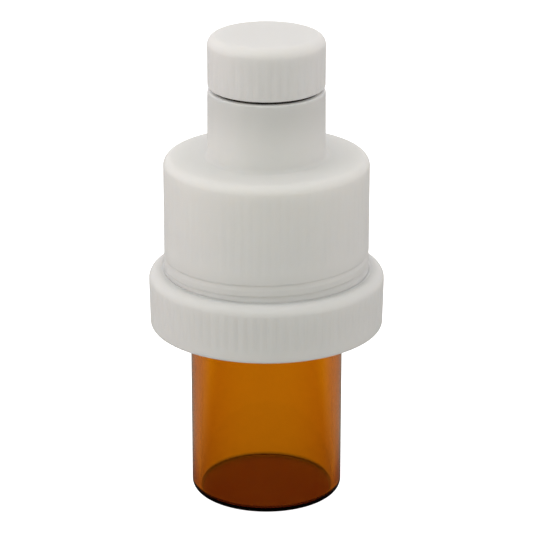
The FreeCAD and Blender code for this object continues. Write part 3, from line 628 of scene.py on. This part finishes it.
def add_pieces():
    for make, node, body, slot, material in PIECES:
        piece = make()
        piece.data.materials.append(material)
        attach(piece, body)
        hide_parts(node)


def paint_cad_nodes():
    for node, material in CARRIED_OVER.items():
        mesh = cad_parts[node].data
        mesh.materials.clear()
        mesh.materials.append(material)
        smooth(mesh, CAD_SHARP_ABOVE_DEG)


# --- stage ------------------------------------------------------------------------------------

LOOK_AT_Z = 51.05 * MM
CAMERA_DISTANCE = 600.77 * MM
CAMERA_ELEVATION = math.radians(20.114)
CAMERA_LENS = 188.5
CAMERA_SENSOR = 36
CAMERA_NEAR = 10 * MM
WHITE_LIGHT = (1.0, 1.0, 1.0)
NO_LIGHT = (0.0, 0.0, 0.0)
FLOOR_HALF_SIZE = 3.0
FLOOR_SEEN = (0.8, 0.8, 0.8)
FLOOR_BOUNCE = (0.57, 0.57, 0.55)
FLOOR_MIRRORED = (0.015, 0.015, 0.015)
# painted reflection: the floor behind the object glows in reflections
FLOOR_PAINTED_REFLECTION_BEHIND = (0.25, 0.30, 0.26)
BEHIND = (-10 * MM, 30 * MM)
FLOOR_THROUGH_TONE = (0.65, 0.65, 0.65)
# painted light: the floor glows when seen through the vial, brighter to the sides
FLOOR_THROUGH_GLOW = (0.43, 0.48, 0.40)
FLOOR_THROUGH_GLOW_ASIDE = (0.70, 1.15, 1.0)
ASIDE = (17 * MM, 28 * MM)
# painted shadow on the floor under the vial, seen only through the glass
UNDER_VIAL_PAINTED_SHADOW_TONE = (0.02, 0.01, 0.01)
UNDER_VIAL_PAINTED_SHADOW_GLOW = (0.10, 0.035, 0.2)
UNDER_VIAL_PAINTED_SHADOW_RADII = (16.4 * MM, 15.8 * MM)
TENT_LEAN = (0, 0.85, -0.5)
TENT_ENDS = ((0.0, (0.35, 0.365, 0.34)), (1.0, (1.07, 1.04, 1.01)))
TENT_BETWEEN = (
    (0.3, (0.75, 0.75, 0.80)),
    (0.5, (0.76, 0.75, 0.755)),
    (0.75, (0.86, 0.845, 0.855)),
)

# name, place, width, height, power in watts, colour, whether it is set aside
SOFTBOXES = (
    ("top_softbox", (0, -0.1, 1.2), 1.0, 1.0, 0.93, (1, 0.968, 0.945), False),
    ("top_left_softbox", (-0.7, -0.35, 0.8), 0.6, 0.6, 0.95, (1, 0.983, 0.961), False),
    ("left_softbox", (-0.5, -0.12, 0.15), 0.35, 0.35, 0.55, (1, 0.835, 0.80), True),
    ("right_softbox", (0.5, -0.1, 0.15), 0.35, 0.35, 0.39, (1, 0.832, 0.80), True),
    ("front_softbox", (0.02, -0.28, 0.42), 0.22, 0.16, 0.2, (1, 0.977, 0.70), False),
    ("low_softbox", (-0.1, -0.5, 0.12), 0.3, 0.2, 0.137, (1, 0.99, 0.96), True),
)


def add_camera():
    data = bpy.data.cameras.new("camera")
    data.lens = CAMERA_LENS
    data.sensor_width = CAMERA_SENSOR
    data.clip_start = CAMERA_NEAR
    camera = bpy.data.objects.new("camera", data)
    camera.location = (
        0,
        -CAMERA_DISTANCE * math.cos(CAMERA_ELEVATION),
        LOOK_AT_Z + CAMERA_DISTANCE * math.sin(CAMERA_ELEVATION),
    )
    camera.rotation_euler = (math.pi / 2 - CAMERA_ELEVATION, 0, 0)
    bpy.context.scene.collection.objects.link(camera)
    bpy.context.scene.camera = camera


def floor_material():
    """Plain white to the eye, and duller to reflections, through the vial and as a bounce. Seen through
    the vial it holds a painted shadow under the vial and glows as painted light, brighter to the sides;
    in reflections it glows behind the object as a painted reflection.
    """
    shader = Shader("floor_white")
    rays = shader.nodes.new("ShaderNodeLightPath").outputs
    x, y, _ = shader.coordinates()
    away = shader.cylindrical()[1]
    # painted reflection behind the object, and painted light through the vial
    mirrored_with_painted_reflection = shader.pick(shader.step(y, *BEHIND), FLOOR_MIRRORED, FLOOR_PAINTED_REFLECTION_BEHIND)
    aside = shader.step(shader.maths("ABSOLUTE", x), *ASIDE)
    through = shader.pick(aside, FLOOR_THROUGH_GLOW, FLOOR_THROUGH_GLOW_ASIDE)
    # painted shadow: the floor turns dark under the vial for rays through the glass
    painted_shadow_under_vial = shader.step(away, *UNDER_VIAL_PAINTED_SHADOW_RADII)
    through = shader.pick(painted_shadow_under_vial, through, UNDER_VIAL_PAINTED_SHADOW_GLOW)
    through_tone = shader.pick(painted_shadow_under_vial, FLOOR_THROUGH_TONE, UNDER_VIAL_PAINTED_SHADOW_TONE)
    tone, glow = FLOOR_BOUNCE, NO_LIGHT
    for ray, seen_tone, seen_glow in (
        ("Is Glossy Ray", NO_LIGHT, mirrored_with_painted_reflection),
        ("Is Transmission Ray", through_tone, through),
        ("Is Camera Ray", FLOOR_SEEN, WHITE_LIGHT),
    ):
        tone = shader.pick(rays[ray], tone, seen_tone)
        glow = shader.pick(rays[ray], glow, seen_glow)
    shader.connect(tone, "Base Color")
    shader.connect(glow, "Emission Color")
    shader.set(Roughness=0.9, Specular_IOR_Level=0.0, Emission_Strength=1.0)
    return shader.material


def add_floor():
    """A pale seamless table top."""
    size = FLOOR_HALF_SIZE
    mesh = bpy.data.meshes.new("floor")
    corners = [(-size, -size, 0), (size, -size, 0), (size, size, 0), (-size, size, 0)]
    mesh.from_pydata(corners, [], [(0, 1, 2, 3)])
    mesh.materials.append(floor_material())
    floor = bpy.data.objects.new("floor", mesh)
    bpy.context.scene.collection.objects.link(floor)


def add_world():
    """Soft studio tent: brightest low behind the object, dimmest above in front, white to the eye."""
    world = bpy.data.worlds.new("studio")
    world.use_nodes = True
    nodes, links = world.node_tree.nodes, world.node_tree.links
    lean = nodes.new("ShaderNodeVectorMath")
    lean.operation = "DOT_PRODUCT"
    links.new(nodes.new("ShaderNodeTexCoord").outputs["Generated"], lean.inputs[0])
    lean.inputs[1].default_value = TENT_LEAN
    spread = nodes.new("ShaderNodeMapRange")
    spread.inputs["From Min"].default_value = -1.0
    links.new(lean.outputs["Value"], spread.inputs["Value"])
    tones = nodes.new("ShaderNodeValToRGB")
    for stop, (position, colour) in zip(tones.color_ramp.elements, TENT_ENDS):
        stop.position = position
        stop.color = (*colour, 1)
    for position, colour in TENT_BETWEEN:
        tones.color_ramp.elements.new(position).color = (*colour, 1)
    links.new(spread.outputs["Result"], tones.inputs["Fac"])
    background = nodes["Background"]
    links.new(tones.outputs["Color"], background.inputs["Color"])
    seen = nodes.new("ShaderNodeBackground")
    seen.inputs["Color"].default_value = (*WHITE_LIGHT, 1)
    mix = nodes.new("ShaderNodeMixShader")
    links.new(nodes.new("ShaderNodeLightPath").outputs["Is Camera Ray"], mix.inputs["Fac"])
    links.new(background.outputs["Background"], mix.inputs[1])
    links.new(seen.outputs["Background"], mix.inputs[2])
    links.new(mix.outputs["Shader"], nodes["World Output"].inputs["Surface"])
    bpy.context.scene.world = world


def add_softbox(name, place, width, height, power, colour, aside):
    """An area light aimed at the object. One set aside is left out of reflections and the vial."""
    data = bpy.data.lights.new(name, "AREA")
    data.shape = "RECTANGLE"
    data.size = width
    data.size_y = height
    data.energy = power
    data.color = colour
    light = bpy.data.objects.new(name, data)
    light.location = place
    light.visible_glossy = not aside
    light.visible_transmission = not aside
    back = light.location - Vector((0, 0, LOOK_AT_Z))
    light.rotation_euler = back.to_track_quat("Z", "Y").to_euler()
    bpy.context.scene.collection.objects.link(light)


def add_stage():
    add_camera()
    add_floor()
    add_world()
    for softbox in SOFTBOXES:
        add_softbox(*softbox)
    bpy.context.scene.view_settings.view_transform = "Standard"
    bpy.context.scene.view_settings.look = "None"


add_pieces()
paint_cad_nodes()
add_stage()
